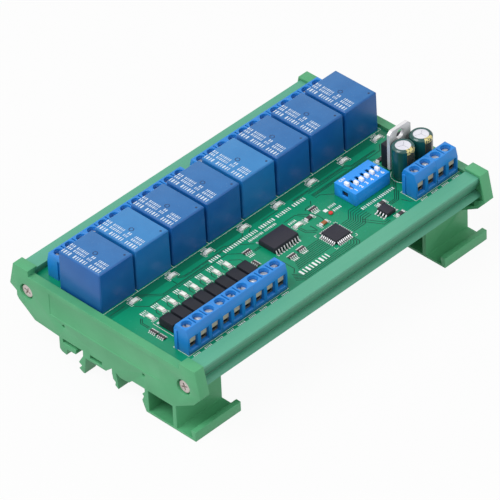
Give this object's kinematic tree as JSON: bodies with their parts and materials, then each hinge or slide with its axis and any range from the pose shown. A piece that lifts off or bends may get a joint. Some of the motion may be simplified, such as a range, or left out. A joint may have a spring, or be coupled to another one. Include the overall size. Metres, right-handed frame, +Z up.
{
  "type": "plc expansion module",
  "caption": "Relay and input expansion board on a rail-mount carrier, with screw terminals, an address switch and end plates that clip to a 35 mm top-hat rail.",
  "frame": {"origin": "centre of the bounding box's bottom face: the level that the latch feet stand on", "axes": "+X along the rail, +Y towards the relays and output terminals, +Z up from the rail"},
  "size_m": [0.1394, 0.0878, 0.0426],
  "materials": {
    "carrier_plastic": "extruded profile, satin",
    "plate_plastic": "moulded plastic, fine satin",
    "screw_steel": "zinc plated",
    "board_laminate": "solder mask over copper",
    "relay_case": "moulded, slightly glossy",
    "terminal_plastic": "moulded plastic, satin",
    "clamp_steel": "plated steel",
    "tinned_metal": "tinned",
    "switch_plastic": "moulded plastic",
    "switch_base_plastic": "moulded plastic",
    "slider_plastic": "white",
    "regulator_metal": "tinned copper, brushed",
    "mould_black": "moulded epoxy",
    "sleeve_green": "shrunk film",
    "led_lens": "milky lens",
    "resistor_body": "glazed"
  },
  "bodies": {
    "module": {"carrier_profile": "carrier_plastic", "end_plate_left": "plate_plastic", "end_plate_right": "plate_plastic", "end_plate_screws": "screw_steel", "circuit_board": "board_laminate", "relay_1": "relay_case", "relay_2": "relay_case", "relay_3": "relay_case", "relay_4": "relay_case", "relay_5": "relay_case", "relay_6": "relay_case", "relay_7": "relay_case", "relay_8": "relay_case", "output_terminal_1": "terminal_plastic", "output_terminal_2": "terminal_plastic", "output_terminal_3": "terminal_plastic", "output_terminal_4": "terminal_plastic", "output_terminal_5": "terminal_plastic", "output_terminal_6": "terminal_plastic", "output_terminal_7": "terminal_plastic", "output_terminal_8": "terminal_plastic", "input_terminal_1": "terminal_plastic", "input_terminal_2": "terminal_plastic", "input_terminal_3": "terminal_plastic", "supply_terminal_1": "terminal_plastic", "supply_terminal_2": "terminal_plastic", "output_clamp_cages": "clamp_steel", "output_clamp_screws": "clamp_steel", "input_clamp_cages": "clamp_steel", "input_clamp_screws": "clamp_steel", "supply_clamp_cages": "clamp_steel", "supply_clamp_screws": "clamp_steel", "regulator_leads": "tinned_metal", "optocoupler_leads": "tinned_metal", "driver_leads": "tinned_metal", "controller_leads": "tinned_metal", "transceiver_leads": "tinned_metal", "switch_cover": "switch_plastic", "switch_base": "switch_base_plastic", "regulator_tab": "regulator_metal", "regulator_body": "mould_black", "driver_chip": "mould_black", "controller_chip": "mould_black", "transceiver_chip": "mould_black", "optocouplers": "mould_black", "capacitor_1": "sleeve_green", "capacitor_2": "sleeve_green", "channel_leds": "led_lens", "input_leds": "led_lens", "status_leds": "led_lens", "resistor_arrays": "resistor_body", "chip_resistors": "resistor_body"},
    "switch_slider_1": {"switch_slider_1": "slider_plastic"},
    "switch_slider_2": {"switch_slider_2": "slider_plastic"},
    "switch_slider_3": {"switch_slider_3": "slider_plastic"},
    "switch_slider_4": {"switch_slider_4": "slider_plastic"},
    "switch_slider_5": {"switch_slider_5": "slider_plastic"},
    "switch_slider_6": {"switch_slider_6": "slider_plastic"}
  },
  "joints": [
    {"name": "slide_1", "type": "slide", "parent": "module", "child": "switch_slider_1", "axis": [0, 1, 0], "range_m": [-0.0019, 0]},
    {"name": "slide_2", "type": "slide", "parent": "module", "child": "switch_slider_2", "axis": [0, 1, 0], "range_m": [0, 0.0019]},
    {"name": "slide_3", "type": "slide", "parent": "module", "child": "switch_slider_3", "axis": [0, 1, 0], "range_m": [0, 0.0019]},
    {"name": "slide_4", "type": "slide", "parent": "module", "child": "switch_slider_4", "axis": [0, 1, 0], "range_m": [0, 0.0019]},
    {"name": "slide_5", "type": "slide", "parent": "module", "child": "switch_slider_5", "axis": [0, 1, 0], "range_m": [0, 0.0019]},
    {"name": "slide_6", "type": "slide", "parent": "module", "child": "switch_slider_6", "axis": [0, 1, 0], "range_m": [0, 0.0019]}
  ]
}
